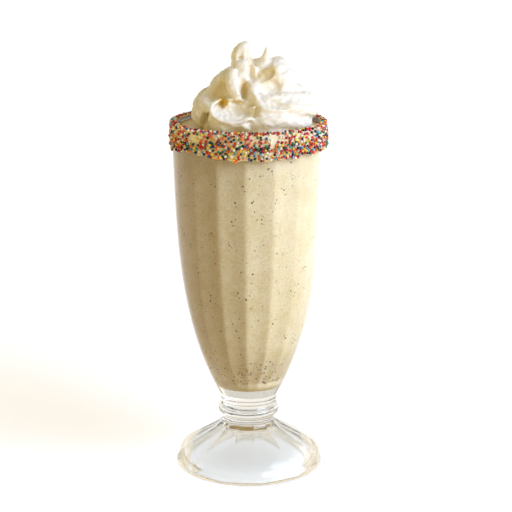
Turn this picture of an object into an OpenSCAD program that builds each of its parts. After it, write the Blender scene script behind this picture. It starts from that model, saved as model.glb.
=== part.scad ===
// Vanilla milkshake in a footed soda glass, topped with piped cream and a sprinkled rim.
// Millimetres, +Z up. The origin is the centre of the ring that the foot stands on.

/* [Glass] */
// Height of the glass, from the surface it stands on to its rim
glass_h = 190; // [160:1:230]
// Outer diameter of the rim
rim_d = 81; // [70:1:100]
// Thickness of the wall at the rim
rim_wall = 2; // [1.6:0.1:3]
// Thickness of the wall at the floor of the bowl
base_wall = 9.5; // [4:0.1:11]
// Height above the floor over which the wall thins
wall_fade = 13; // [6:0.5:30]
// Radius of the outer edge of the lip
lip_round = 0.8; // [0.4:0.1:1.2]
// Height at which the bowl starts
bowl_z = 40; // [36:1:50]
// Outer radius of the bowl where it starts
waist_r = 15.7; // [13:0.1:19]
// How much the straight flare of the bowl adds to its radius
bowl_flare = 4; // [2:0.5:9]
// How fast the bowl swells above the stem
bowl_fullness = 3.6; // [2:0.1:5]
// Thickness of the solid glass between the start of the bowl and the floor of its inside
floor_lift = 5.5; // [0.5:0.1:8]

/* [Panels inside the bowl] */
// Number of flat panels round the inside of the bowl
panels = 16; // [8:1:20]
// How far each panel is dished towards the middle of the glass
panel_dish = 0.55; // [0:0.05:0.8]
// Depth below the rim at which the panels have faded into a round wall
panel_top = 9; // [6:1:20]
// Length over which the panels fade
panel_fade = 8; // [4:1:20]

/* [Stem and foot] */
// Radius of the stem under its ring
stem_r = 14; // [11:0.1:16]
// Height of the middle of the ring on the stem
ring_z = 31; // [29:0.5:34]
// Radius of the ring's rounded section
ring_bead_r = 3.2; // [2:0.1:4]
// Outer radius of the ring
ring_r = 16.6; // [15:0.1:19]
// Diameter of the foot
foot_d = 80; // [66:1:96]
// Height of the foot's upright edge
foot_edge = 3; // [2:0.1:5]
// Height at which the foot has narrowed to the stem
foot_h = 26; // [22:1:27]
// Thickness of the foot between the hollow under it and the outside, measured level
foot_wall = 6; // [4:0.5:10]
// Height of the hollow under the foot
hollow_h = 22; // [10:1:23]
// Number of scooped flutes round the foot
flutes = 12; // [6:1:16]
// Radius of the round scoop that makes a flute
flute_r = 20; // [14:1:30]
// Depth of a flute at its deepest
flute_depth = 1.2; // [0.4:0.1:1.4]

/* [Milkshake] */
// Distance from the rim down to the surface of the milkshake
fill_gap = 2.5; // [2:0.5:20]

/* [Sprinkled rim] */
// How far the sprinkles reach down the outside of the glass
band_h = 14; // [6:1:24]
// Thickness of the layer of sprinkles and glaze
band_t = 1.7; // [1:0.1:2.5]

/* [Cream] */
// Height of the cream above the milkshake
cream_h = 44.5; // [30:0.5:60]
// Least gap between the cream and the inside of the rim
cream_gap = 1.2; // [0.5:0.1:8]
// How far the cream sits to the right of the middle of the glass
cream_shift = 3; // [0:0.5:5]
// Number of turns of the piped rope
cream_turns = 2.3; // [1.5:0.1:3]
// Thickness of the rope at its first turn
rope_d = 28; // [18:1:32]
// Thickness of the rope at its last turn, as a share of its first turn
rope_taper = 0.55; // [0.3:0.05:0.9]
// Number of teeth of the star nozzle
nozzle_teeth = 6; // [4:1:8]
// Depth of the grooves between the ridges, as a share of the rope's radius
groove = 0.2; // [0.1:0.05:0.35]

/* [Hidden] */
$fn = 96;

rim_r = rim_d / 2;
foot_r = foot_d / 2;
fill_z = glass_h - fill_gap;
floor_z = bowl_z + floor_lift;
stem_top_r = waist_r - 0.6;
bowl_swell = rim_r - waist_r - bowl_flare;
panel_turn = 360 / panels;
front = 270;
panel_start = front - 2;      // one edge between two panels lies just left of the front
flute_start = front + 25;
steps_per_panel = 4;
cavity_steps = panels * steps_per_panel;

// ---- outline of the glass, as [radius, height] ----

function share(z, z0, z1) = min(1, max(0, (z - z0) / (z1 - z0)));

function ease(t) = t * t * (3 - 2 * t);

function bowl_outer_r(z) =
    let (t = share(z, bowl_z, glass_h))
    waist_r + bowl_swell * (1 - pow(1 - t, bowl_fullness)) + bowl_flare * t;

function wall(z) = rim_wall + (base_wall - rim_wall) * exp(-pow((z - floor_z) / wall_fade, 2));

function arc(centre, r, from, to, steps) =
    [for (i = [0:steps]) let (a = from + (to - from) * i / steps) centre + r * [cos(a), sin(a)]];

// The foot narrows to the stem in one bell-shaped sweep.
function foot_outer_r(z) = foot_r - (foot_r - stem_r) * ease(pow(share(z, foot_edge, foot_h), 1.1));

function foot_curve(steps) =
    [for (i = [1:steps]) let (z = foot_edge + (foot_h - foot_edge) * i / steps) [foot_outer_r(z), z]];

// Half the angle of the bead that stands proud of a stem of radius r.
function bead_angle(r) = acos((r - (ring_r - ring_bead_r)) / ring_bead_r);

function ring_curve(steps) =
    arc([ring_r - ring_bead_r, ring_z], ring_bead_r, -bead_angle(stem_r), bead_angle(stem_top_r), steps);

function bowl_curve(from_z, to_z, steps) =
    [for (i = [0:steps]) let (z = from_z + (to_z - from_z) * pow(i / steps, 1.3)) [bowl_outer_r(z), z]];

function lip_curve(steps) = arc([rim_r - lip_round, glass_h - lip_round], lip_round, 0, 90, steps);

foot_corner = 1.2;
foot_steps = 12;
ring_steps = 8;
bowl_steps = 22;
lip_steps = 4;
band_z = glass_h - band_h;
band_bevel = 1;

// The stretch of the outline that the sprinkles sit on, which ends in the rounded lip.
band_seat = concat(bowl_curve(band_z, glass_h - lip_round, lip_steps), lip_curve(lip_steps));

glass_outline = concat(
    [[0, 0]],
    arc([foot_r - foot_corner, foot_corner], foot_corner, -90, 0, 4),
    [[foot_r, foot_edge]],
    foot_curve(foot_steps),
    ring_curve(ring_steps),
    bowl_curve(bowl_z, band_z, bowl_steps),
    band_seat,
    [[0, glass_h]]
);

// ---- inside of the bowl: rings of points that run from the floor to the rim ----

floor_round = 5;

function cavity_wall_r(z) = bowl_outer_r(z) - wall(z);

// The rounded corner between the wall and the floor, as [radius, height] for an angle a.
function floor_corner(a) = [
    cavity_wall_r(floor_z + floor_round) - floor_round * (1 - cos(a)),
    floor_z + floor_round * (1 - sin(a))
];

function panel_share(z) =
    share(glass_h - panel_top - z, 0, panel_fade)
    * share(z, floor_z, floor_z + 2 * floor_round);

function cavity_r(r, z, turn) =
    let (
        off = (turn - panel_start) % panel_turn,
        from_middle = abs(off < 0 ? off + panel_turn / 2 : off - panel_turn / 2),
        flat = r * cos(panel_turn / 2) / cos(from_middle),
        dish = panel_dish * (1 - pow(2 * from_middle / panel_turn, 2)),
        k = panel_share(z)
    )
    r + k * (flat - dish - r);

function cavity_ring(p) =
    [for (i = [0:cavity_steps - 1])
        let (turn = 360 * i / cavity_steps + panel_start, r = cavity_r(p[0], p[1], turn))
        [r * cos(turn), r * sin(turn), p[1]]];

floor_rings = [for (a = [90:-22.5:0]) floor_corner(a)];
wall_steps = 13;
wall_rings = [for (i = [1:wall_steps])
    let (z = floor_z + floor_round + (fill_z - floor_z - floor_round) * pow(i / wall_steps, 1.25))
    [cavity_wall_r(z), z]];
lip_rings = [
    [cavity_wall_r(glass_h - lip_round), glass_h - lip_round],
    [rim_r - rim_wall + 0.3 * lip_round, glass_h],
    [rim_r - rim_wall + 0.3 * lip_round, glass_h + 1]
];

// A closed solid through rings of n points each, from the bottom one to the top one.
module loft(rings) {
    n = len(rings[0]);
    last = len(rings) - 1;
    polyhedron(
        points = [for (ring = rings) for (p = ring) p],
        faces = concat(
            [[for (i = [0:n - 1]) i]],
            [for (k = [0:last - 1]) for (i = [0:n - 1]) let (j = (i + 1) % n)
                each [
                    [k * n + i, (k + 1) * n + i, (k + 1) * n + j],
                    [k * n + i, (k + 1) * n + j, k * n + j]
                ]],
            [[for (i = [n - 1:-1:0]) last * n + i]]
        )
    );
}

// A flute is scooped out of the shoulder of the foot by a sphere, square to the slope there.
shoulder = foot_curve(foot_steps)[5];
shoulder_slope = let (d = foot_curve(foot_steps)[7] - foot_curve(foot_steps)[3]) atan2(-d[0], d[1]);

module flute_scoop(turn) {
    reach = flute_r - flute_depth;
    rotate([0, 0, turn])
        translate([shoulder[0] + reach * cos(shoulder_slope), 0, shoulder[1] + reach * sin(shoulder_slope)])
            sphere(r = flute_r);
}

module glass() {
    color([0.86, 0.9, 0.9, 0.35])
        difference() {
            rotate_extrude()
                polygon(glass_outline);
            loft([for (p = concat(floor_rings, wall_rings, lip_rings)) cavity_ring(p)]);
            foot_hollow();
            for (i = [0:flutes - 1])
                flute_scoop(flute_start + 360 * i / flutes);
        }
}

// The hollow is a bell that follows the outside of the foot, so the foot stands on a flat ring.
hollow_dome = 3;
hollow_top_r = foot_outer_r(hollow_h - hollow_dome) - foot_wall;

module foot_hollow() {
    rotate_extrude()
        polygon(concat(
            [[0, -1], [foot_r - foot_wall, -1]],
            [for (i = [0:10]) let (z = (hollow_h - hollow_dome) * i / 10) [foot_outer_r(z) - foot_wall, z]],
            [for (a = [18:18:90]) [hollow_top_r * cos(a), hollow_h - hollow_dome * (1 - sin(a))]]
        ));
}

module milkshake() {
    color([0.93, 0.86, 0.7])
        loft([for (p = concat(floor_rings, wall_rings)) cavity_ring(p)]);
}

// The band hugs the outside of the glass and turns over the lip onto its flat top.
module sprinkle_band() {
    lip_end = [rim_r - rim_wall + lip_round, glass_h];
    low = band_z + band_bevel;
    outer = [for (i = [lip_steps:-1:0])
        let (z = low + (glass_h - low) * i / lip_steps) [bowl_outer_r(z) + band_t, z]];
    color([0.85, 0.55, 0.45])
        rotate_extrude()
            polygon(concat(band_seat, [lip_end, lip_end + [0, band_t], [rim_r, glass_h + band_t]], outer));
}

// ---- piped cream: a star-shaped rope that climbs in a narrowing spiral and ends in a hook ----

cream_r = cavity_wall_r(fill_z) - cream_gap - cream_shift;
rope_r = rope_d / 2;
spiral_r = cream_r - 0.92 * rope_r;
rope_points = 4 * nozzle_teeth;
rope_end = 360 * cream_turns;
rope_start = 215;
rope_step = 15;
rope_lap = 5;             // how far each length of rope runs on into the next
twist = 0.3;              // turn of the star section for each degree of the spiral
least_r = 0.4;
hook_r = 5.5;
hook_size = 5.2;

function rope_share(turn) = share(turn, 0, rope_end);

// The rope's radius, which closes in a round at both of its ends.
function rope_size(turn) =
    let (
        body = rope_r * (1 - (1 - rope_taper) * rope_share(turn)),
        ends = min(1, sqrt(share(turn, -8, 30))) * min(1, sqrt(share(rope_end + 8 - turn, 0, 60)))
    )
    body * ends;

// The first turn stays wide and low, and the rest draws in as it climbs.
function rope_centre_r(turn) = spiral_r * (1 - pow(share(turn, 340, rope_end), 0.9));

function rope_centre_z(turn) =
    let (low = 0.62 * rope_r, high = cream_h - 1.2 * hook_r - rope_r * rope_taper)
    low + (high - low) * pow(share(turn, 90, rope_end), 1.1);

function star_r(a) = 1 - groove * (1 - pow(abs(cos(a * nozzle_teeth / 2)), 0.8));

// One section of a rope that bends round the Z axis, at the angle at.
function star_ring(at, centre_r, centre_z, size, turned) =
    [for (i = [0:rope_points - 1])
        let (
            a = 360 * i / rope_points,
            r = size * star_r(a + turned),
            out = max(least_r, centre_r + r * cos(a))
        )
        [out * cos(at), out * sin(at), centre_z - r * sin(a)]];

module rope_length(from, to) {
    steps = round((to - from) / rope_step);
    loft([for (k = [0:steps])
        let (
            turn = from + (to - from) * k / steps,
            centre_r = rope_centre_r(turn),
            centre_z = rope_centre_z(turn)
        )
        star_ring(rope_start + turn, centre_r, centre_z, rope_size(turn), twist * turn)]);
}

// The last of the rope stands up and bends over, thinning to a tip.
module cream_hook() {
    translate([-hook_r / 3, 0, cream_h - hook_r - hook_size / 2])
        rotate([90, 0, 0])
            mirror([1, 0, 0])
                loft([for (k = [0:12])
                    star_ring(19 * k - 80, hook_r, 0, hook_size * (1 - 0.85 * pow(k / 12, 1.6)), 20)]);
}

module cream_core() {
    cylinder(r1 = spiral_r + 6, r2 = 5, h = 0.8 * cream_h, $fn = 24);
}

module whipped_cream() {
    lengths = ceil(rope_end / 180);
    length_turn = rope_end / lengths;
    color([0.99, 0.97, 0.92])
        translate([cream_shift, 0, fill_z])
            resize([0, 0, cream_h])
                intersection() {
                    union() {
                        for (i = [0:lengths - 1])
                            rope_length(i * length_turn, min(rope_end, (i + 1) * length_turn + rope_lap));
                        cream_hook();
                        cream_core();
                    }
                    cylinder(r = cream_r, h = 2 * cream_h);
                }
}

glass();
milkshake();
whipped_cream();
sprinkle_band();
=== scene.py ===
# %% [markdown]
# # A vanilla milkshake in a footed soda glass
#
# The drink is six kinds of thing, and each is made in the way that suits it.
# The pressed glass and the milkshake are turned forms with panels, so they are spun and then pressed.
# The icing on the rim is spun too. The cream is soft ropes that melt into each other, so it is piped
# from sections and then fused. The sugar balls and the vanilla specks are many copies of one shape.
# Shapes are worked out in millimetres and finished in metres, in the frame of the CAD model, which is
# loaded first.

import math
import random

import bmesh
import bpy
import numpy as np
from mathutils import Matrix, Vector, noise


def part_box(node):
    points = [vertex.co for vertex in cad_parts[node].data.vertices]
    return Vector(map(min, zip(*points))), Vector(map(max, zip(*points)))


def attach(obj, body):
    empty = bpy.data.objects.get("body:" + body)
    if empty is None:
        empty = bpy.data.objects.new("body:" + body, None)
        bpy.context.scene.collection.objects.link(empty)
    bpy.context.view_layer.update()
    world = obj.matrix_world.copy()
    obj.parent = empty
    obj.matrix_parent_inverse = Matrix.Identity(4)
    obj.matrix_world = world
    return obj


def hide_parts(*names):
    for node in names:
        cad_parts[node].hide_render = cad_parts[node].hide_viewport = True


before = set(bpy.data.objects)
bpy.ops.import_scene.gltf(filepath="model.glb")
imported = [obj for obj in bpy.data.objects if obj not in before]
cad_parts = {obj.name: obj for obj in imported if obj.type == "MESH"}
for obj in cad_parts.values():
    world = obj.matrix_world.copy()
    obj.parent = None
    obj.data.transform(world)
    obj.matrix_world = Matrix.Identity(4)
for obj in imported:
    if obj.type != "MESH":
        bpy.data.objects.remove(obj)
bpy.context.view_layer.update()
MM = 0.001

# %% [markdown]
# ## Sizes taken from the frame
#
# The CAD nodes say how tall the glass is, how wide its rim is, how high the milkshake stands and
# how far the sprinkles reach down. Every piece below is worked out from these few numbers, so it
# lands where the CAD model has it. The cream's own heights are printed.

# %% Read the driving sizes
glass_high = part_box("glass")[1]
shake_low, shake_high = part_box("milkshake")
cream_low, cream_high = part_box("whipped_cream")
band_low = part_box("sprinkle_band")[0]

glass_h = glass_high[2] / MM
rim_r = glass_high[0] / MM
floor_z = shake_low[2] / MM
fill_z = shake_high[2] / MM
band_z = band_low[2] / MM
print(f"glass {glass_h:.1f} mm tall, rim radius {rim_r:.2f}, shake from {floor_z:.1f} to {fill_z:.1f}")
print(f"cream from {cream_low[2] / MM:.1f} to {cream_high[2] / MM:.1f}")

# %% [markdown]
# ## Camera
#
# A long lens from about 0.83 m in front of the glass, a little above its rim and tilted down by
# about 15 degrees, gives the flat view in which the rim and the foot are both slim ellipses.
# The object stands just left of the middle, which a very small lens shift gives.

# %% Camera
camera_away = 834 * MM
camera_up = 337 * MM
camera_tilt = math.radians(14.8)

camera_data = bpy.data.cameras.new("camera")
camera_data.sensor_width = 36
camera_data.lens = 112.7
camera_data.shift_x = 0.0146
camera_data.clip_start = 0.05
camera_data.clip_end = 50
camera = bpy.data.objects.new("camera", camera_data)
camera.location = (0, -camera_away, camera_up)
camera.rotation_euler = (math.pi / 2 - camera_tilt, 0, 0)
bpy.context.scene.collection.objects.link(camera)
bpy.context.scene.camera = camera
print("camera at", tuple(camera.location))

# %% [markdown]
# ## Helpers for objects and materials
#
# Five small helpers are used everywhere. The first turns a hex colour into the linear values that the
# shaders work in, here tried on a mid grey. The next two add a node with its settings and links, and
# start an empty material. The last two turn a finished bmesh into a mesh in metres, and a mesh into an
# object that rides on the body of the part.

# %% Helpers
def colour(hex_code, alpha=1.0):
    """Linear colour from an sRGB hex code."""
    out = []
    for i in (0, 2, 4):
        c = int(hex_code[i : i + 2], 16) / 255
        out.append(c / 12.92 if c <= 0.04045 else ((c + 0.055) / 1.055) ** 2.4)
    return (*out, alpha)


def add_node(tree, kind, settings=None, links=None):
    """A node with its attributes and socket values set, and its inputs linked."""
    node = tree.nodes.new(kind)
    for name, value in (settings or {}).items():
        if name in node.inputs:
            node.inputs[name].default_value = value
        else:
            setattr(node, name, value)
    for name, source in (links or {}).items():
        tree.links.new(source, node.inputs[name])
    return node


def new_material(name):
    """An empty material with its output node, and the tree to build in."""
    material = bpy.data.materials.new(name)
    material.use_nodes = True
    tree = material.node_tree
    tree.nodes.clear()
    return material, tree, tree.nodes.new("ShaderNodeOutputMaterial")


def to_mesh(bm, name):
    """A mesh in metres from a bmesh made in millimetres."""
    mesh = bpy.data.meshes.new(name)
    bmesh.ops.scale(bm, vec=(MM, MM, MM), verts=bm.verts)
    bm.to_mesh(mesh)
    bm.free()
    return mesh


def ride_as(mesh, name, material, node=None):
    """Finish a mesh as an object that rides on the part."""
    mesh.name = name
    mesh.shade_smooth()
    mesh.materials.append(material)
    piece = bpy.data.objects.new(name, mesh)
    bpy.context.scene.collection.objects.link(piece)
    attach(piece, "root")
    if node:
        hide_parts(node)
    print(f"{name}: {len(mesh.polygons)} faces")


print("mid grey in linear light", round(colour("808080")[0], 3))

# %% [markdown]
# ## Many copies of one small shape
#
# Sugar balls and vanilla specks are one shape repeated many hundreds of times. The shape is made
# once with a bmesh operator. Objects that share one mesh would do, but there would be thousands, so its
# points are copied to every place with one array product. The copies are one joined mesh, which is
# quick to build.

# %% Copies helper
def small_ball(subdivisions):
    """Points and triangles of an icosphere of radius one."""
    bm = bmesh.new()
    bmesh.ops.create_icosphere(bm, subdivisions=subdivisions, radius=1.0)
    points = np.array([v.co for v in bm.verts])
    triangles = np.array([[v.index for v in f.verts] for f in bm.faces])
    bm.free()
    return points, triangles


def copies(name, shape, places):
    """One mesh with the shape repeated at each place, a list of 4 x 4 matrices in millimetres."""
    points, triangles = shape
    frames = np.array([[list(row) for row in m] for m in places])
    moved = np.einsum("kij,nj->kni", frames[:, :3, :3], points) + frames[:, None, :3, 3]
    corners = (triangles[None] + len(points) * np.arange(len(places))[:, None, None]).reshape(-1)
    mesh = bpy.data.meshes.new(name)
    mesh.vertices.add(moved.shape[0] * moved.shape[1])
    mesh.vertices.foreach_set("co", (moved * MM).ravel())
    mesh.loops.add(len(corners))
    mesh.loops.foreach_set("vertex_index", corners)
    mesh.polygons.add(len(corners) // 3)
    mesh.polygons.foreach_set("loop_start", np.arange(0, len(corners), 3))
    mesh.update(calc_edges=True)
    mesh.validate()
    return mesh


print("a sugar ball has", len(small_ball(2)[1]), "faces and a speck", len(small_ball(1)[1]))

# %% [markdown]
# ## The outline of the glass
#
# Pressed soda glass is a turned form: a hollow foot shaped like a bell, a ring on a short stem and
# a bowl that swells quickly and then runs up almost straight. The outline is a few formulas of
# the height, the same as in the CAD model, and the wall is thick at the floor and thin at the rim.

# %% Outline functions
rim_wall = 2.0
base_wall = 9.5
wall_fade = 13.0
bowl_z = 40.0
waist_r = 15.7
bowl_flare = 4.0
bowl_fullness = 3.6
lip_round = 0.8
floor_round = 5.0

foot_r = 40.0
foot_edge = 3.0
foot_corner = 1.2
foot_h = 26.0
stem_r = 14.0
stem_top_r = waist_r - 0.6
ring_z = 31.0
ring_r = 16.6
ring_bead_r = 3.2
foot_wall = 6.0
hollow_h = 22.0
hollow_dome = 3.0


def share(z, z0, z1):
    """How far z is on the way from z0 to z1, from 0 to 1."""
    return min(1.0, max(0.0, (z - z0) / (z1 - z0)))


def ease(t):
    """0 to 1 with a soft start and a soft end."""
    return t * t * (3 - 2 * t)


def bowl_outer_r(z):
    """Outer radius of the bowl: it swells fast above the stem and then leans out evenly."""
    t = share(z, bowl_z, glass_h)
    return waist_r + (rim_r - waist_r - bowl_flare) * (1 - (1 - t) ** bowl_fullness) + bowl_flare * t


def bowl_inner_r(z):
    """Inner radius of the bowl, whose wall thins from the floor up."""
    wall = rim_wall + (base_wall - rim_wall) * math.exp(-(((z - floor_z) / wall_fade) ** 2))
    return bowl_outer_r(z) - wall


def arc(x, z, r, start, end, steps):
    """Points on an arc, as (radius, height)."""
    turns = [math.radians(start + (end - start) * i / steps) for i in range(steps + 1)]
    return [(x + r * math.cos(t), z + r * math.sin(t)) for t in turns]


def inner_curve(steps, grow=0.0, top=None):
    """The inside of the bowl from the axis out and up, moved into the wall by grow."""
    top = glass_h - lip_round if top is None else top
    corner_z = floor_z + floor_round
    corner_r = bowl_inner_r(corner_z) - floor_round
    points = [(0.0, floor_z - grow)] + [(corner_r * i / 6, floor_z - grow) for i in range(1, 6)]
    points += arc(corner_r, corner_z, floor_round + grow, -90, 0, 6)
    for i in range(1, steps + 1):
        z = corner_z + (top - corner_z) * (i / steps) ** 1.2
        points.append((bowl_inner_r(z) + grow, z))
    return points


print("outer radius at mid bowl", round(bowl_outer_r(115), 2), "inner", round(bowl_inner_r(115), 2))

# %% [markdown]
# ## Pressing the panels and flutes
#
# The plunger that pressed this glass had sixteen long concave panels, so the inside of the bowl and
# the drink in it have soft upright edges. The foot's mould has twelve flutes. Both are moves of
# ring points in or out by a formula of the angle, which keeps the mesh even.

# %% Panels and flutes
panels = 16
panel_turn = 2 * math.pi / panels
front = -math.pi / 2
panel_edge = front - math.radians(2)
panel_dish = 0.55
panel_top = 9.0
panel_fade = 8.0
edge_softness = 0.09
still_r = 0.5

flutes = 12
flute_turn = 2 * math.pi / flutes
flute_edge = front + math.radians(10)
flute_depth = 1.5


def place_in_panel(turn, first_edge, panel):
    """0 in the middle of a panel and 1 at its edge."""
    off = ((turn - first_edge) / panel) % 1.0
    return abs(2 * off - 1)


def panel_r(r, z, turn):
    """Radius of the panelled inside of the bowl."""
    p = place_in_panel(turn, panel_edge, panel_turn)
    p = 1 + edge_softness - math.sqrt((1 - p) ** 2 + edge_softness**2)
    flat = r * math.cos(panel_turn / 2) / math.cos(p * panel_turn / 2)
    dished = flat - panel_dish * (1 - p * p)
    strength = share(glass_h - panel_top - z, 0, panel_fade) * share(z, floor_z, floor_z + 2 * floor_round)
    return r + strength * (dished - r)


def flute_r(r, z, turn):
    """Radius of the fluted foot."""
    p = place_in_panel(turn, flute_edge, flute_turn)
    depth = flute_depth * math.sin(math.pi * share(z, -6, foot_h + 1)) ** 0.8
    return r - depth * (1 - p**2.2)


def press(verts, radius_at):
    """Move ring points in or out to the radius that a formula gives, and leave those on the axis."""
    for v in verts:
        r = math.hypot(v.co.x, v.co.y)
        if r > still_r:
            k = radius_at(r, v.co.z, math.atan2(v.co.y, v.co.x)) / r
            v.co.x *= k
            v.co.y *= k


def turned(outlines, steps):
    """Spin outlines of (radius, height) points, joined end to end, once round the Z axis.

    Each ring point keeps the number of the outline it came from, so that it can be found again.
    """
    bm = bmesh.new()
    part = bm.verts.layers.int.new("part")
    verts = []
    for number, outline in enumerate(outlines):
        for r, z in outline:
            verts.append(bm.verts.new((r, 0, z)))
            verts[-1][part] = number
    edges = [bm.edges.new(pair) for pair in zip(verts, verts[1:])]
    bmesh.ops.spin(
        bm,
        geom=verts + edges,
        cent=(0, 0, 0),
        axis=(0, 0, 1),
        angle=2 * math.pi,
        steps=steps,
        use_merge=True,
    )
    bmesh.ops.remove_doubles(bm, verts=bm.verts, dist=0.0005)
    bmesh.ops.recalc_face_normals(bm, faces=bm.faces)
    return bm


def part_verts(bm, number):
    """The ring points that came from one outline."""
    part = bm.verts.layers.int["part"]
    return [v for v in bm.verts if v[part] == number]


spin_steps = 192
print(panels, "panels and", flutes, "flutes")

# %% [markdown]
# ## Clear pressed glass
#
# Soda-lime glass is clear, with a trace of tint that only shows where it is thick. Its surface is
# fire-polished, so it is smooth but never perfectly flat, which a very shallow bump gives.
# The foot keeps the slight satin of its mould, and the polish grows towards the stem.
# Light from the lamps has to reach the drink inside. A ray that asks whether a lamp is hidden passes
# the glass as if it were not there, which also keeps the render free of bright grains.

# %% Glass material
def pressed_glass():
    """Soda-lime glass, pressed and fire-polished: clear and slightly wavy, with a satin foot."""
    material, tree, output = new_material("soda_lime_glass_pressed")
    place = add_node(tree, "ShaderNodeTexCoord")
    wave = add_node(
        tree,
        "ShaderNodeTexNoise",
        {"Scale": 1 / (14 * MM), "Detail": 1.0},
        {"Vector": place.outputs["Object"]},
    )
    bump = add_node(
        tree,
        "ShaderNodeBump",
        {"Strength": 0.12, "Distance": 0.2 * MM},
        {"Height": wave.outputs["Fac"]},
    )
    height = add_node(tree, "ShaderNodeSeparateXYZ", None, {"Vector": place.outputs["Object"]})
    polish = add_node(
        tree,
        "ShaderNodeMapRange",
        {"From Min": 20 * MM, "From Max": 27 * MM, "To Min": 0.16, "To Max": 0.02},
        {"Value": height.outputs["Z"]},
    )
    glass = add_node(
        tree,
        "ShaderNodeBsdfPrincipled",
        {
            "Base Color": colour("EEECE6"),
            "IOR": 1.5,
            "Transmission Weight": 1.0,
        },
        {"Normal": bump.outputs["Normal"], "Roughness": polish.outputs["Result"]},
    )
    clear = add_node(tree, "ShaderNodeBsdfTransparent", {"Color": colour("F4F8F5")})
    path = add_node(tree, "ShaderNodeLightPath")
    mix = add_node(tree, "ShaderNodeMixShader", None, {0: path.outputs["Is Shadow Ray"]})
    tree.links.new(glass.outputs[0], mix.inputs[1])
    tree.links.new(clear.outputs[0], mix.inputs[2])
    tree.links.new(mix.outputs[0], output.inputs["Surface"])
    return material


glass_material = pressed_glass()
print("made", glass_material.name)

# %% [markdown]
# ## The glass
#
# The whole glass is one closed outline: from the top of the hollow under the foot, over the ring it
# stands on, up the foot, stem and bowl, over the lip and down the inside to the floor.
# A profile with a Screw modifier would look alike, but spinning a bmesh gives a watertight solid whose
# ring points know their part of the outline, so that the panels and the flutes can be pressed in.

# %% Glass piece
def foot_outer_r(z):
    """Outer radius of the foot, from the standing edge in to the stem."""
    return foot_r - (foot_r - stem_r) * ease(share(z, foot_edge, foot_h) ** 1.1)


def hollow_curve(steps):
    """The bell-shaped hollow under the foot, from the axis out and down to the standing ring."""
    shoulder_z = hollow_h - hollow_dome
    shoulder_r = foot_outer_r(shoulder_z) - foot_wall
    dome = []
    for a in (0.0, 0.3, 0.6, 0.9, 1.2):
        dome.append((math.sin(a) * shoulder_r, shoulder_z + math.cos(a) * hollow_dome))
    heights = [shoulder_z * (1 - i / steps) for i in range(steps + 1)]
    return dome + [(foot_outer_r(z) - foot_wall, z) for z in heights]


def foot_curve(steps):
    """The outside of the foot, from its edge up."""
    heights = [foot_edge + (foot_h - foot_edge) * i / steps for i in range(steps + 1)]
    return [(foot_outer_r(z), z) for z in heights]


def stem_ring():
    """The ring on the stem: part of a circle that starts and ends on the stem's radius."""
    bead_x = ring_r - ring_bead_r
    low = -math.degrees(math.acos((stem_r - bead_x) / ring_bead_r))
    high = math.degrees(math.acos((stem_top_r - bead_x) / ring_bead_r))
    return arc(bead_x, ring_z, ring_bead_r, low, high, 14)


def bowl_curve(steps):
    """The outside of the bowl, with closer points near the stem."""
    heights = [bowl_z + (glass_h - lip_round - bowl_z) * (i / steps) ** 1.15 for i in range(steps)]
    return [(bowl_outer_r(z), z) for z in heights]


edge = arc(foot_r - foot_corner, foot_corner, foot_corner, -90, 0, 5)
lip = arc(rim_r - lip_round, glass_h - lip_round, lip_round, 0, 90, 5)
lip += arc(rim_r - rim_wall + lip_round, glass_h - lip_round, lip_round, 90, 180, 5)
fluted = 1
panelled = 3
glass_parts = [
    hollow_curve(28) + edge,
    foot_curve(28),
    stem_ring() + bowl_curve(64) + lip,
    inner_curve(60)[::-1],
]
bm = turned(glass_parts, spin_steps)
press(part_verts(bm, fluted), flute_r)
press(part_verts(bm, panelled), panel_r)
ride_as(to_mesh(bm, "glass"), "pressed_glass", glass_material, "glass")

# %% [markdown]
# ## Vanilla milkshake
#
# Blended ice cream and milk is opaque, cream-coloured and faintly mottled where ice crystals and
# foam press against the glass, so a wide mottle and a fine froth grain tint the colour. Real froth is
# too fine to show, so its grain is drawn about a millimetre wide. Light goes a few millimetres into
# the drink, which takes the hardness out of the shadows.
# The piece reaches a tenth of a millimetre into the wall, so no air shows between.

# %% Milkshake material
def milkshake_material():
    """Vanilla milkshake: opaque milk and fat, matt, with a soft glow under the surface."""
    material, tree, output = new_material("vanilla_milkshake_blended")
    place = add_node(tree, "ShaderNodeTexCoord")
    cloud = add_node(
        tree,
        "ShaderNodeTexNoise",
        {"Scale": 1 / (9 * MM), "Detail": 3.0, "Roughness": 0.6},
        {"Vector": place.outputs["Object"]},
    )
    tone = add_node(tree, "ShaderNodeValToRGB", None, {"Fac": cloud.outputs["Fac"]})
    tone.color_ramp.elements[0].position = 0.3
    tone.color_ramp.elements[0].color = colour("EAD8A8")
    tone.color_ramp.elements[1].position = 0.7
    tone.color_ramp.elements[1].color = colour("F5E8C6")
    froth = add_node(
        tree,
        "ShaderNodeTexNoise",
        {"Scale": 1 / (1.1 * MM), "Detail": 2.0},
        {"Vector": place.outputs["Object"]},
    )
    grain = add_node(tree, "ShaderNodeValToRGB", None, {"Fac": froth.outputs["Fac"]})
    grain.color_ramp.elements[0].position = 0.34
    grain.color_ramp.elements[0].color = colour("F2EFE4")
    grain.color_ramp.elements[1].position = 0.58
    grain.color_ramp.elements[1].color = colour("FFFFFF")
    blend = add_node(tree, "ShaderNodeVectorMath", {"operation": "MULTIPLY"}, {0: tone.outputs["Color"]})
    tree.links.new(grain.outputs["Color"], blend.inputs[1])
    drink = add_node(
        tree,
        "ShaderNodeBsdfPrincipled",
        {
            "Roughness": 0.45,
            "Subsurface Weight": 0.35,
            "Subsurface Radius": (1.0, 0.7, 0.4),
            "Subsurface Scale": 3 * MM,
            "IOR": 1.36,
        },
        {"Base Color": blend.outputs["Vector"]},
    )
    tree.links.new(drink.outputs[0], output.inputs["Surface"])
    return material


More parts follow.
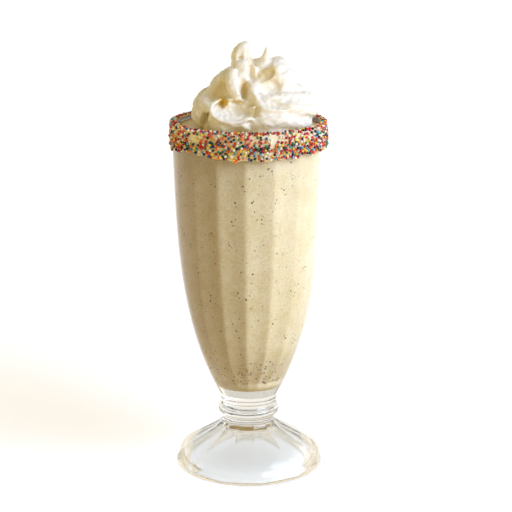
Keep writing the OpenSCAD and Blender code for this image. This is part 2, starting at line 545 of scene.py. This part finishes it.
shake_material = milkshake_material()
print("made", shake_material.name)

# %% [markdown]
# ### The drink's form
#
# The drink takes its form from the inside of the bowl, so it is spun from the same outline and pressed
# with the same panels. Its top is domed by less than a millimetre, as thick milk stands.

# %% Milkshake piece
into_wall = 0.1
swell = 0.8
top_rings = 14
side = inner_curve(60, into_wall, fill_z)
edge_r = side[-1][0]
top = []
for i in range(1, top_rings):
    out = 1 - i / top_rings
    top.append((edge_r * out, fill_z + swell * (1 - out**2)))
bm = turned([side, top + [(0.0, fill_z + swell)]], spin_steps)
press(part_verts(bm, 0), panel_r)
ride_as(to_mesh(bm, "shake"), "vanilla_milkshake", shake_material, "milkshake")

# %% [markdown]
# ## Whipped cream
#
# The cream was piped through a star nozzle in two loose turns and a hooked peak, and it broke and
# folded as the nozzle left it. Clay modelling is the nearest craft, so the piece is built up in the
# same order: ropes and soft lumps are laid down, a voxel remesh fuses them into one skin, hollows are
# pressed in as with the back of a spoon, thin lips are added, and a last remesh melts all together.

# %% Cream: a rope along a route
def smooth_route(points, steps):
    """Catmull-Rom curve through points of any number of values, with steps between each two."""
    rows = [points[0]] + list(points) + [points[-1]]
    out = []
    for k in range(1, len(rows) - 2):
        for i in range(steps):
            t = i / steps
            weights = (
                (2 * t * t - t - t**3) / 2,
                (2 - 5 * t * t + 3 * t**3) / 2,
                (t + 4 * t * t - 3 * t**3) / 2,
                (t**3 - t * t) / 2,
            )
            columns = zip(*rows[k - 1 : k + 3])
            out.append([sum(w * v for w, v in zip(weights, column)) for column in columns])
    out.append(list(points[-1]))
    return out


def pipe_rope(bm, points, teeth=6, groove=0.2, twist=2.0, steps=5):
    """Carry a star section along points of (x, y, height above the drink, radius)."""
    least = 0.15
    route = [(Vector((x, y, z + fill_z)), max(size, least)) for x, y, z, size in smooth_route(points, steps)]
    sides = 8 * teeth
    ring = bmesh.ops.create_circle(bm, cap_ends=True, radius=1.0, segments=sides)["verts"]
    for v in ring:
        v.co *= 1 - groove * (1 - abs(math.cos(math.atan2(v.co.y, v.co.x) * teeth / 2)) ** 0.8)
    skin = list(ring)
    normal = Vector((0, 0, 1))
    last = Matrix.Identity(4)
    along = 0.0
    for k, (spot, size) in enumerate(route):
        behind = route[max(k - 1, 0)][0]
        tangent = (route[min(k + 1, len(route) - 1)][0] - behind).normalized()
        if k == 0 and abs(tangent.z) > 0.95:
            normal = Vector((1, 0, 0))
        normal = (normal - tangent * normal.dot(tangent)).normalized()
        along += (spot - behind).length
        basis = Matrix((normal, tangent.cross(normal), tangent)).transposed().to_4x4()
        turn = Matrix.Rotation(math.radians(twist * along), 4, "Z")
        here = Matrix.Translation(spot) @ basis @ turn @ Matrix.Scale(size, 4)
        ring_edges = {e for v in ring for e in v.link_edges if all(w in ring for w in e.verts)}
        if k:
            grown = bmesh.ops.extrude_edge_only(bm, edges=list(ring_edges))
            ring = [g for g in grown["geom"] if isinstance(g, bmesh.types.BMVert)]
            skin += ring
        bmesh.ops.transform(bm, matrix=here @ last.inverted(), verts=ring)
        last = here
    end_edges = {e for v in ring for e in v.link_edges if all(w in ring for w in e.verts)}
    bmesh.ops.edgeloop_fill(bm, edges=list(end_edges))
    bmesh.ops.recalc_face_normals(bm, faces=list({f for v in skin for f in v.link_faces}))


def lump(bm, x, y, z, radii):
    """A soft rounded mass, its middle at a height above the drink."""
    form = Matrix.Translation((x, y, z + fill_z)) @ Matrix.Diagonal((*radii, 1))
    bmesh.ops.create_icosphere(bm, subdivisions=3, radius=1.0, matrix=form)


print("a route through two points has", len(smooth_route([(0, 0), (1, 1)], 5)), "points")

# %% [markdown]
# ### Ropes and lumps
#
# Each row of a turn is a point on the middle line of a rope and the rope's radius there. Each soft mass
# is a middle and three radii, and fills out the core or backs a fold. The numbers are millimetres,
# chosen like the moves of a hand with a piping bag. The x and y are measured from the axis of the
# glass and the height from the surface of the drink.

# %% Cream: the masses
low_turn = [
    (3, -16, 6, 8),
    (8, -20, 7.5, 11.5),
    (16, -15, 8.5, 12.5),
    (23.5, -4, 9, 13),
    (22, 10, 9.5, 12.5),
    (11, 19, 10, 12.5),
    (-3, 21, 10, 12),
    (-15, 14, 9.5, 11.5),
    (-20, 1, 8.5, 10.5),
    (-18, -11, 7.5, 10),
    (-11, -18, 6.5, 9),
    (-4, -20, 6.5, 7),
]
high_turn = [
    (-8, -12, 12, 8),
    (1, -13, 16, 9),
    (9, -9, 20, 10),
    (13.5, -1, 25, 12),
    (9, 9, 24, 11.5),
    (-1, 12, 22, 11),
    (-9, 8, 19, 11),
    (-9.5, -1, 18, 11),
    (-6, -7, 21, 9),
    (-3, -7, 26, 8),
    (-2.5, -4, 31, 7.6),
    (-3.5, -3, 36, 6.2),
    (-3.4, -3, 39.5, 5),
    (-1.8, -3, 42.5, 3.4),
    (0.2, -3, 44, 1.8),
    (1.5, -3, 44.6, 0.5),
]
soft_masses = [
    (2, 2, 6, (22, 22, 14)),
    (-16, -1, 13, (9.5, 10, 9)),
    (-10, -18, 9, (10, 11, 8.5)),
    (-8, -23, 4.5, (12, 8.5, 5.5)),
    (-16.5, -20, 9, (5.5, 8, 5.5)),
    (19, -9, 11, (12, 14, 9.5)),
    (14, -3, 24, (11, 11, 11)),
    (2.4, -15, 22, (4.8, 5.5, 4.8)),
    (-3, -8, 31, (6, 5.5, 6)),
]

bm = bmesh.new()
pipe_rope(bm, low_turn, teeth=8, groove=0.24)
pipe_rope(bm, high_turn, teeth=6, groove=0.18)
for x, y, z, radii in soft_masses:
    lump(bm, x, y, z, radii)
print("cream masses", len(bm.faces), "faces before they fuse")

# %% [markdown]
# ### Fusing the masses
#
# Overlapping skins could be joined with booleans, but the joins would stay sharp. A voxel remesh takes
# the outside of them all as one even skin, and a few rounds of smoothing melt the joins, as cream does.

# %% Cream: fuse
def fuse(bm, voxel, rounds):
    """Melt overlapping skins into one with a voxel remesh, then smooth away its steps."""
    mesh = to_mesh(bm, "cream_clay")
    clay = bpy.data.objects.new("cream_clay", mesh)
    bpy.context.scene.collection.objects.link(clay)
    remesh = clay.modifiers.new("fuse", "REMESH")
    remesh.mode = "VOXEL"
    remesh.voxel_size = voxel * MM
    soften = clay.modifiers.new("soften", "SMOOTH")
    soften.factor = 0.5
    soften.iterations = rounds
    shown = clay.evaluated_get(bpy.context.evaluated_depsgraph_get())
    fused = bpy.data.meshes.new_from_object(shown)
    bpy.data.objects.remove(clay)
    bm = bmesh.new()
    bm.from_mesh(fused)
    bmesh.ops.scale(bm, vec=(1 / MM, 1 / MM, 1 / MM), verts=bm.verts)
    return bm


bm = fuse(bm, voxel=0.8, rounds=6)
print("fused masses have", len(bm.faces), "faces")

# %% [markdown]
# ### Hollows
#
# A hollow is an ellipsoid and the way the spoon went in. Every point of the skin inside the ellipsoid
# is moved that way until it lies on the ellipsoid's far side, which leaves a clean dish with a crisp rim.

# %% Cream: press hollows
hollows = [
    # x, y, height, radii, tilt about Y in degrees, direction, how strong the painted shade in its fold is
    (-8, -31, 13, (12, 11, 4.8), 10, (0.1, 1, 0.25), 0.12),
    (-14.8, -26, 14.6, (4.2, 11, 2.7), -40, (0.3, 1, 0.25), 1.0),
    (-6.5, -26, 15.4, (5, 9, 1.6), 4, (0, 1, 0.4), 0.7),
    (-2.2, -21, 22, (2.4, 8, 5.5), 0, (0.1, 1, 0), 0.5),
    (9, -17, 30.5, (6.5, 7, 4.8), -25, (0, 1, -0.2), 0.45),
    (14, -19, 24.5, (8, 6, 5), -20, (0, 1, 0), 0.15),
    (1.2, -14, 31, (2.4, 7, 6), 0, (0.2, 1, 0), 0.25),
    (4.6, -6, 37.5, (4.4, 7, 5.8), -20, (-1, 0.5, 0), 0.25),
    (-4.4, -9.5, 36.6, (2.4, 5, 1.1), -15, (0, 1, 0.3), 0.5),
    (-24, -19, 4, (1.2, 9, 8), 8, (0.4, 1, 0), 0.4),
    (-6, -34, 0, (9, 10, 5), 0, (0, 1, 0), 0.3),
    (15, -28, 16, (9, 5, 2.6), 8, (0, 1, 0), 0.1),
    (3.5, -29, 12, (1.6, 5, 5), 25, (0, 1, 0), 0.15),
    (-14.5, -15.5, 23, (3.4, 9, 9), 40, (0.4, 1, 0), 0.35),
    (-21, -17, 9, (1.4, 8, 7), 25, (0.5, 1, 0), 0.2),
]


def into_hollow(x, y, z, radii, tilt, direction):
    """The frame of a tilted ellipsoid, and the way the spoon went, in that frame."""
    form = (
        Matrix.Translation((x, y, z + fill_z))
        @ Matrix.Rotation(math.radians(tilt), 4, "Y")
        @ Matrix.Diagonal((*radii, 1))
    )
    return form, (form.inverted().to_3x3() @ Vector(direction)).normalized()


def press_hollow(verts, form, way):
    """Move the points inside the ellipsoid along a direction, out to its far side."""
    to_unit = form.inverted()
    for v in verts:
        spot = to_unit @ v.co
        inside = 1 - spot.length_squared
        if inside > 0:
            b = spot.dot(way)
            v.co = form @ (spot + way * (math.sqrt(b * b + inside) - b))


for row in hollows:
    press_hollow(bm.verts, *into_hollow(*row[:6]))
print(len(hollows), "hollows pressed")

# %% [markdown]
# ### Lips and ribbons
#
# Where the cream tore away from the nozzle it left thin edges. They are slim ropes along the rims of
# the hollows, and the last one is the small spike beside the peak. A finer remesh than the first one
# keeps them thin.

# %% Cream: lips
lips = [
    [
        (-14, -19, 17.4, 0.9),
        (-17.8, -23, 15.6, 1.1),
        (-19.2, -26, 13, 1.2),
        (-18, -28.5, 10.6, 1.3),
        (-14.9, -30, 8.6, 1.3),
        (-10.7, -31, 7.4, 1.4),
        (-6.5, -31, 6.9, 1.4),
        (-3.2, -30.5, 7.9, 1.3),
        (0, -30, 8.9, 1.1),
        (3, -28, 8.2, 0.8),
    ],
    [(-8, -11, 31, 2.6), (-9, -14.5, 26.5, 3.2), (-7.4, -18, 21.5, 3.0), (-5, -20, 18.4, 1.8)],
    [(1.5, -18, 22, 2.2), (3, -22, 19.5, 1.8), (5, -25, 16.5, 1.6), (7.5, -27, 13, 1.2)],
    [(7.5, -4, 32, 3.8), (8.6, -4, 37, 2.4), (9.2, -4, 40, 1.5), (9.6, -4, 42.5, 0.5)],
]
for points in lips:
    pipe_rope(bm, points, groove=0.05)
bm = fuse(bm, voxel=0.55, rounds=5)
print(len(lips), "lips added, and the skin has", len(bm.faces), "faces")

# %% [markdown]
# ### Unevenness and folds
#
# A hand-piped surface is never even. Two sizes of noise push the skin in and out by some tenths of a
# millimetre, and a third raises soft creases where it crosses zero. The creases lie flatter than they
# are wide. The folds are given a painted shade, darker and yellower than the rest, for the light that is
# thrown to and fro in them, whose blue the butterfat takes out. So how deep each point lies in a hollow is
# kept as an attribute.

# %% Cream: unevenness and folds
wide_size = 7.0
wide_push = 0.35
fine_size = 2.4
fine_push = 0.26
crease_size = 5.0
crease_push = 0.9
crease_sink = 0.4
crease_shift = Vector((7, 3, 1))
still_below = fill_z + 0.5
painted_shade_reach_squared = 1.7

bm.normal_update()
for v in bm.verts:
    wide = noise.noise(v.co / wide_size)
    fine = noise.noise(Vector((v.co.x, v.co.y, 1.6 * v.co.z)) / fine_size)
    crease = 0.5 - abs(noise.noise(Vector((v.co.x, v.co.y, 1.5 * v.co.z)) / crease_size + crease_shift))
    if v.co.z > still_below:
        v.co += v.normal * (wide_push * wide + fine_push * fine + crease_push * crease - crease_sink)

# Painted shade: how deep each point lies in a hollow, which darkens and yellows the cream's colour there
painted_fold_shade = bm.verts.layers.float.new("painted_fold_shade")
for row in hollows:
    form, way = into_hollow(*row[:6])
    to_unit = form.inverted()
    for v in bm.verts:
        spot = to_unit @ v.co
        if spot.length_squared < painted_shade_reach_squared:
            v[painted_fold_shade] = max(v[painted_fold_shade], row[6] * ease(share(spot.dot(way), 0.0, 1.0)))
deep = sum(v[painted_fold_shade] > 0.5 for v in bm.verts)
print("finished cream has", len(bm.faces), "faces, and", deep, "points lie deep in a fold")

# %% [markdown]
# ### Whipped cream as a material
#
# Cream is a foam of fat and air. Light goes about a millimetre into it, its skin is satin, and tiny
# bubbles crinkle it. They are too fine to show, so the crinkle is drawn about 2 mm wide. The colour
# runs from ivory to a darker butter yellow as a point lies deeper in a fold, which is painted shade.

# %% Cream material
def cream_material():
    """Whipped dairy cream: fat foam, ivory white, softly glossy, lit a little way in."""
    material, tree, output = new_material("whipped_dairy_cream")
    place = add_node(tree, "ShaderNodeTexCoord")
    foam = add_node(
        tree,
        "ShaderNodeTexNoise",
        {"Scale": 1 / (2.0 * MM), "Detail": 4.0},
        {"Vector": place.outputs["Object"]},
    )
    bump = add_node(
        tree,
        "ShaderNodeBump",
        {"Strength": 0.4, "Distance": 0.5 * MM},
        {"Height": foam.outputs["Fac"]},
    )
    # Painted shade: the ramp darkens the colour to butter yellow in the folds, where light is trapped
    depth = add_node(tree, "ShaderNodeAttribute", {"attribute_name": "painted_fold_shade"})
    tone = add_node(tree, "ShaderNodeValToRGB", None, {"Fac": depth.outputs["Fac"]})
    tone.color_ramp.elements[0].color = colour("FBF8EF")
    tone.color_ramp.elements[1].color = colour("DCB832")
    cream = add_node(
        tree,
        "ShaderNodeBsdfPrincipled",
        {
            "Roughness": 0.4,
            "Subsurface Weight": 0.3,
            "Subsurface Radius": (1.0, 0.8, 0.5),
            "Subsurface Scale": 1.2 * MM,
            "IOR": 1.4,
        },
        {"Base Color": tone.outputs["Color"], "Normal": bump.outputs["Normal"]},
    )
    tree.links.new(cream.outputs[0], output.inputs["Surface"])
    return material


cream_finish = cream_material()
ride_as(to_mesh(bm, "cream"), "piped_cream", cream_finish, "whipped_cream")

# %% [markdown]
# ## Sugar balls on the rim
#
# The rim was brushed with thin white icing and rolled in small sugar balls of about 1.5 mm.
# They turn over the lip and end in a ragged lower edge. The upper part of the band is thinner, so that
# the icing shows, and a few balls ride on the others lower down. A particle system could strew them,
# but it doesn't keep them apart. Here places are drawn at random and kept only where the balls already
# there leave all but a little of the room.

# %% Sprinkles: places
ball_r = 0.75
over_lip = 1.2
reach_in = -1.2
reach_down = 17
bare_from = 0.8
bare_to = 7
bare_chance = 0.62
pile_from = 6
edge_lift = 1.6
edge_wander = 2.2
edge_fray = 1.4
random.seed(11)


def band_bottom(turn):
    """Height of the ragged lower edge of the band at an angle round the glass."""
    wander = noise.noise(Vector((math.cos(turn) * 2.2, math.sin(turn) * 2.2, 5.0)))
    fine = noise.noise(Vector((math.cos(turn) * 9, math.sin(turn) * 9, 9.0)))
    return band_z + edge_lift + edge_wander * wander + edge_fray * fine


def on_rim(turn, s):
    """A place and the outward direction at s mm from the top of the lip, down the outside or in."""
    up = glass_h - lip_round
    if s < 0:
        r = rim_r - rim_wall * 0.5 + s * 0.7
        out = Vector((0.1 * s, 0, 1)).normalized()
        spot = Vector((r, 0, glass_h))
    elif s < over_lip:
        a = math.pi / 2 * (1 - s / over_lip)
        out = Vector((math.cos(a), 0, math.sin(a)))
        spot = Vector((rim_r - lip_round, 0, up)) + lip_round * out
    else:
        z = up - (s - over_lip)
        out = Vector((1, 0, 0))
        spot = Vector((bowl_outer_r(z), 0, z))
    spin = Matrix.Rotation(turn, 3, "Z")
    return spin @ spot, spin @ out


def scatter_balls(tries, lift, closest):
    """Add balls at random places that clear the others, lifted off the glass by some millimetres."""
    for _ in range(tries):
        turn = random.uniform(-math.pi, math.pi)
        s = random.uniform(reach_in, reach_down)
        size = ball_r * random.uniform(0.82, 1.08)
        spot, out = on_rim(turn, s)
        crowd = noise.noise(Vector((math.cos(turn) * 8, math.sin(turn) * 8, s / 4)))
        low = band_bottom(turn)
        ragged = s > over_lip and (spot.z < low or (spot.z < low + 3 and random.random() < 0.4))
        bare = bare_from < s < bare_to and random.random() < bare_chance - 0.9 * crowd
        if ragged or bare or (lift and (crowd < 0.0 or s < pile_from)):
            continue
        centre = spot + out * (size * 0.88 + 0.12 + lift)
        key = tuple(int(math.floor(c / cell)) for c in centre)
        near = (
            other
            for i in (-1, 0, 1)
            for j in (-1, 0, 1)
            for k in (-1, 0, 1)
            for other in grid.get((key[0] + i, key[1] + j, key[2] + k), ())
        )
        if any((centre - c).length < closest * (size + r) for c, r in near):
            continue
        grid.setdefault(key, []).append((centre, size))
        balls.append((centre, size))


cell = 2 * ball_r
grid = {}
balls = []
scatter_balls(tries=30000, lift=0.0, closest=0.9)
first_layer = len(balls)
scatter_balls(tries=9000, lift=ball_r, closest=0.82)
print(first_layer, "sugar balls on the icing and", len(balls) - first_layer, "on top of them")

# %% [markdown]
# ### One mesh of coloured balls
#
# All the balls are one mesh of copies, and each ball's colour is an attribute of its points, drawn from
# a short list with weights. A ball's colour also varies a little in brightness, as hand-panned sugar does.

# %% Sprinkles: mesh
ball_colours = [
    ("B01824", 13),
    ("E03030", 13),
    ("14142C", 12),
    ("123E2C", 6),
    ("F07A2C", 13),
    ("F6D23A", 12),
    ("34944C", 7),
    ("5AB6DC", 5),
    ("2A62A8", 3),
    ("501E3C", 3),
    ("FBF4E6", 22),
]
choices = [colour(c) for c, w in ball_colours]
weights = [w for c, w in ball_colours]

ball_mesh = copies("balls", small_ball(2), [Matrix.Translation(c) @ Matrix.Scale(r, 4) for c, r in balls])
tints = []
for _ in balls:
    bright = random.uniform(0.75, 1.1)
    tint = random.choices(choices, weights)[0]
    tints.append([min(1.0, c * bright) for c in tint[:3]] + [1.0])
shade = ball_mesh.attributes.new("ball_colour", "FLOAT_COLOR", "POINT")
ball_points = len(ball_mesh.vertices) // len(balls)
shade.data.foreach_set("color", np.repeat(np.array(tints), ball_points, axis=0).ravel())


def sugar_material():
    """Coloured sugar: hard panned shell, satin, with a little light below the surface."""
    material, tree, output = new_material("panned_sugar_balls")
    tint = add_node(tree, "ShaderNodeAttribute", {"attribute_name": "ball_colour"})
    shell = add_node(
        tree,
        "ShaderNodeBsdfPrincipled",
        {"Roughness": 0.25, "IOR": 1.5, "Subsurface Weight": 0.15, "Subsurface Scale": 0.4 * MM},
        {"Base Color": tint.outputs["Color"]},
    )
    tree.links.new(shell.outputs[0], output.inputs["Surface"])
    return material


ride_as(ball_mesh, "sugar_balls", sugar_material())

# %% [markdown]
# ## Icing under the balls
#
# The thin icing shows between the balls as an ivory skin with a rounded, uneven lower edge.
# It could be grown out of the glass's own faces, but they don't follow the ragged line. So it is a
# spun strip that starts inside the wall's surface, and its lower edge is moved to that line.

# %% Icing piece
icing_t = 0.22
icing_low = band_z + 1.0
below_balls = 0.4


def icing_outline(rows):
    """A thin closed strip along the outside and over the lip, as (radius, height)."""
    outer = []
    for i in range(rows + 1):
        z = icing_low + (glass_h - lip_round - icing_low) * i / rows
        outer.append((bowl_outer_r(z) + icing_t, z))
    lip = arc(rim_r - lip_round, glass_h - lip_round, lip_round + icing_t, 15, 90, 5)
    end = [(rim_r - rim_wall + 0.2, glass_h + icing_t), (rim_r - rim_wall - 0.1, glass_h - 0.6)]
    back = [(rim_r - rim_wall + 0.5, glass_h - 0.4), (rim_r - lip_round, glass_h - lip_round)]
    inner = [(r - icing_t - 0.15, z) for r, z in outer[::-1]]
    return outer + lip + end + back + inner


def to_ragged_edge(verts):
    """Stretch the strip so that its lower edge follows the balls' lower edge."""
    top = glass_h - lip_round
    for v in verts:
        if v.co.z < top:
            turn = math.atan2(v.co.y, v.co.x)
            k = (top - v.co.z) / (top - icing_low)
            v.co.z = top - k * (top - band_bottom(turn) + below_balls)


outline = icing_outline(12)
bm = turned([outline + [outline[0]]], spin_steps)
to_ragged_edge(bm.verts)


def icing_material():
    """Thin sugar icing, dried on glass: ivory, slightly glossy, with a little light below the surface."""
    material, tree, output = new_material("dried_sugar_icing")
    icing = add_node(
        tree,
        "ShaderNodeBsdfPrincipled",
        {
            "Base Color": colour("F3E8CF"),
            "Roughness": 0.35,
            "Subsurface Weight": 0.3,
            "Subsurface Scale": 1 * MM,
        },
    )
    tree.links.new(icing.outputs[0], output.inputs["Surface"])
    return material


ride_as(to_mesh(bm, "icing"), "rim_icing", icing_material(), "sprinkle_band")

# %% [markdown]
# ## Vanilla specks
#
# Ground vanilla leaves dark brown flecks of 0.2 to 0.5 mm. They are too fine to show, so they are made
# about 0.4 to 1 mm across. They gather in loose groups, and more of them settle near the bottom.
# Noise in the drink's colour could draw them, but real flecks have crisp outlines. So each is a small
# flattened ball pressed into the drink's skin, so that it touches the glass.

# %% Specks
speck_count = 1100
speck_radii = (0.20, 0.24, 0.28, 0.36, 0.46)
clear_low = 3
clear_high = 12
stray_share = 0.12
group_share = 0.9
settled_share = 0.7
settled_h = 24
random.seed(5)


def speck_places(count):
    """Angles and heights, in loose groups and thicker near the bottom."""
    places = []
    while len(places) < count:
        turn = random.uniform(-math.pi, math.pi)
        z = random.uniform(floor_z + clear_low, fill_z - clear_high)
        crowd = noise.noise(Vector((math.cos(turn) * 3, math.sin(turn) * 3, z / 14)))
        settled = 1 - share(z, floor_z, floor_z + settled_h)
        keep = stray_share + group_share * max(0.0, crowd) ** 1.2 + settled_share * settled
        if random.random() < keep:
            places.append((turn, z))
    return places


speck_frames = []
for turn, z in speck_places(speck_count):
    r = panel_r(bowl_inner_r(z) + into_wall, z, turn)
    size = random.choice(speck_radii)
    spin = Matrix.Rotation(turn, 4, "Z") @ Matrix.Translation((r, 0, z))
    tilt = Matrix.Rotation(random.uniform(0, math.pi), 4, "X")
    wide = random.uniform(0.8, 1.5) * size
    long = random.uniform(0.8, 1.2) * size
    form = Matrix.Diagonal((0.4 * size, wide, long, 1))
    speck_frames.append(spin @ tilt @ form)
speck_mesh = copies("specks", small_ball(1), speck_frames)


def speck_material():
    """Ground vanilla pod: dry, matt, dark brown."""
    material, tree, output = new_material("ground_vanilla_pod")
    place = add_node(tree, "ShaderNodeTexCoord")
    grain = add_node(
        tree, "ShaderNodeTexNoise", {"Scale": 1 / (2 * MM)}, {"Vector": place.outputs["Object"]}
    )
    tone = add_node(tree, "ShaderNodeValToRGB", None, {"Fac": grain.outputs["Fac"]})
    tone.color_ramp.elements[0].color = colour("523008")
    tone.color_ramp.elements[1].color = colour("865A14")
    pod = add_node(
        tree,
        "ShaderNodeBsdfPrincipled",
        {"Roughness": 0.8, "Specular IOR Level": 0.1},
        {"Base Color": tone.outputs["Color"]},
    )
    tree.links.new(pod.outputs[0], output.inputs["Surface"])
    return material


ride_as(speck_mesh, "vanilla_specks", speck_material())

# %% [markdown]
# ## Floor and light
#
# A pale floor runs far back, so it is also the background. The light is a broad, cool key from the
# right and a little to the front, as from a tall window. Everything else is a weak warm fill, as
# from a room, which leaves the left side of the drink in a soft olive shade.
# The floor also glows, with a painted shadow that makes it dimmer under the foot, where less light gets, and
# painted light that makes it brighter towards the window.
# The floor would throw much white light back up, so light that has already met something matt finds
# the floor as dim and warm as the room.

# %% Floor
bm = bmesh.new()
half_floor = 9000
bmesh.ops.create_grid(bm, x_segments=1, y_segments=1, size=half_floor)
floor_mesh = to_mesh(bm, "floor")
material, tree, output = new_material("matt_white_paper")
paper = add_node(tree, "ShaderNodeBsdfDiffuse", {"Color": colour("FAFAFA")})
place = add_node(tree, "ShaderNodeTexCoord")
across = add_node(tree, "ShaderNodeSeparateXYZ", None, {"Vector": place.outputs["Object"]})
# Painted pool of light: the floor's glow grows towards the window side
painted_window_light = add_node(
    tree,
    "ShaderNodeMapRange",
    {"interpolation_type": "SMOOTHSTEP", "From Min": 0.05, "From Max": 0.4, "To Min": 0.45, "To Max": 2.4},
    {"Value": across.outputs["X"]},
)
from_foot = add_node(
    tree, "ShaderNodeVectorMath", {"operation": "LENGTH"}, {"Vector": place.outputs["Object"]}
)
# Painted shadow: the glow fades under and around the foot
painted_foot_shadow = add_node(
    tree,
    "ShaderNodeMapRange",
    {
        "interpolation_type": "SMOOTHSTEP",
        "From Min": 0.008,
        "From Max": 0.052,
        "To Min": 0.25,
        "To Max": 1.0,
    },
    {"Value": from_foot.outputs["Value"]},
)
strength = add_node(tree, "ShaderNodeMath", {"operation": "MULTIPLY"}, {0: painted_window_light.outputs["Result"]})
tree.links.new(painted_foot_shadow.outputs["Result"], strength.inputs[1])
# The floor glows with this painted light and shadow, on top of the paper's own shading
painted_floor_glow = add_node(
    tree,
    "ShaderNodeEmission",
    {"Color": (0.94, 0.95, 1.01, 1)},
    {"Strength": strength.outputs[0]},
)
bright = add_node(tree, "ShaderNodeAddShader")
tree.links.new(paper.outputs[0], bright.inputs[0])
tree.links.new(painted_floor_glow.outputs[0], bright.inputs[1])
dim = add_node(tree, "ShaderNodeEmission", {"Color": (0.86, 0.67, 0.32, 1), "Strength": 1.0})
path = add_node(tree, "ShaderNodeLightPath")
floor_mix = add_node(tree, "ShaderNodeMixShader", None, {0: path.outputs["Diffuse Depth"]})
tree.links.new(bright.outputs[0], floor_mix.inputs[1])
tree.links.new(dim.outputs[0], floor_mix.inputs[2])
tree.links.new(floor_mix.outputs[0], output.inputs["Surface"])
material.cycles.emission_sampling = "NONE"
floor_mesh.materials.append(material)
floor = bpy.data.objects.new("floor", floor_mesh)
bpy.context.scene.collection.objects.link(floor)
print("floor", floor.name, "is", round(floor.dimensions.x), "m wide")

# %% [markdown]
# ### The key light
#
# A sun lamp with a wide angle gives parallel light with soft shadow edges, like a tall window some way
# off. It comes from the right, a little in front, and from above, and is slightly blue beside the fill.

# %% Lights
key_side = math.radians(31)
key_rise = math.radians(28)
key_data = bpy.data.lights.new("key", "SUN")
key_data.energy = 2.55
key_data.angle = math.radians(40)
key_data.color = (0.72, 0.85, 1.17)
key = bpy.data.objects.new("key", key_data)
key_from = Vector((math.cos(key_side), -math.sin(key_side), math.tan(key_rise)))
key.rotation_euler = key_from.to_track_quat("Z", "Y").to_euler()
bpy.context.scene.collection.objects.link(key)
print("key light from", [round(c, 2) for c in key_from.normalized()])

# %% [markdown]
# ### The room
#
# The room is seen in two ways. What the clear glass reflects and bends is a white studio with a
# darker side behind the camera, which draws thin grey lines in the foot and the stem, and a bright
# pane on the right. What lights the matt food is the weak warm fill, which is brighter and whiter
# behind the glass than in front of it, and dimmer from above.
# Past the far edge of the floor the backdrop is plain white.

# %% Room
world = bpy.data.worlds.new("studio")
world.use_nodes = True
world.cycles.sampling_method = "NONE"
tree = world.node_tree
tree.nodes.clear()
output = tree.nodes.new("ShaderNodeOutputWorld")
look = add_node(tree, "ShaderNodeTexCoord")
towards = add_node(tree, "ShaderNodeSeparateXYZ", None, {"Vector": look.outputs["Generated"]})
ceiling = add_node(
    tree,
    "ShaderNodeMapRange",
    {"From Min": 0.0, "From Max": 0.9, "To Min": 0.70, "To Max": 0.30},
    {"Value": towards.outputs["Z"]},
)
warmth = add_node(tree, "ShaderNodeValToRGB", None, {"Fac": towards.outputs["Y"]})
warmth.color_ramp.elements[0].position = 0.4
warmth.color_ramp.elements[0].color = (1.0, 0.77, 0.31, 1)
warmth.color_ramp.elements[1].position = 0.9
warmth.color_ramp.elements[1].color = (1.9, 1.7, 1.25, 1)
fill = add_node(
    tree,
    "ShaderNodeBackground",
    None,
    {"Color": warmth.outputs["Color"], "Strength": ceiling.outputs["Result"]},
)
walls = add_node(tree, "ShaderNodeValToRGB", None, {"Fac": towards.outputs["Y"]})
walls.color_ramp.elements[0].position = 0.0
walls.color_ramp.elements[0].color = (0.18, 0.17, 0.12, 1)
walls.color_ramp.elements[1].position = 0.25
walls.color_ramp.elements[1].color = (0.80, 0.79, 0.74, 1)
pane = add_node(
    tree,
    "ShaderNodeMapRange",
    {"interpolation_type": "SMOOTHSTEP", "From Min": 0.55, "From Max": 0.85, "To Min": 1.0, "To Max": 3.5},
    {"Value": towards.outputs["X"]},
)
seen = add_node(
    tree, "ShaderNodeBackground", None, {"Color": walls.outputs["Color"], "Strength": pane.outputs["Result"]}
)
path = add_node(tree, "ShaderNodeLightPath")
room = add_node(tree, "ShaderNodeMixShader", None, {0: path.outputs["Diffuse Depth"]})
tree.links.new(seen.outputs[0], room.inputs[1])
tree.links.new(fill.outputs[0], room.inputs[2])
backdrop = add_node(tree, "ShaderNodeBackground", {"Color": (1.0, 1.0, 1.0, 1), "Strength": 1.0})
view = add_node(tree, "ShaderNodeMixShader", None, {0: path.outputs["Is Camera Ray"]})
tree.links.new(room.outputs[0], view.inputs[1])
tree.links.new(backdrop.outputs[0], view.inputs[2])
tree.links.new(view.outputs[0], output.inputs["Surface"])
bpy.context.scene.world = world
bpy.context.scene.view_settings.view_transform = "Standard"
print("room", world.name)
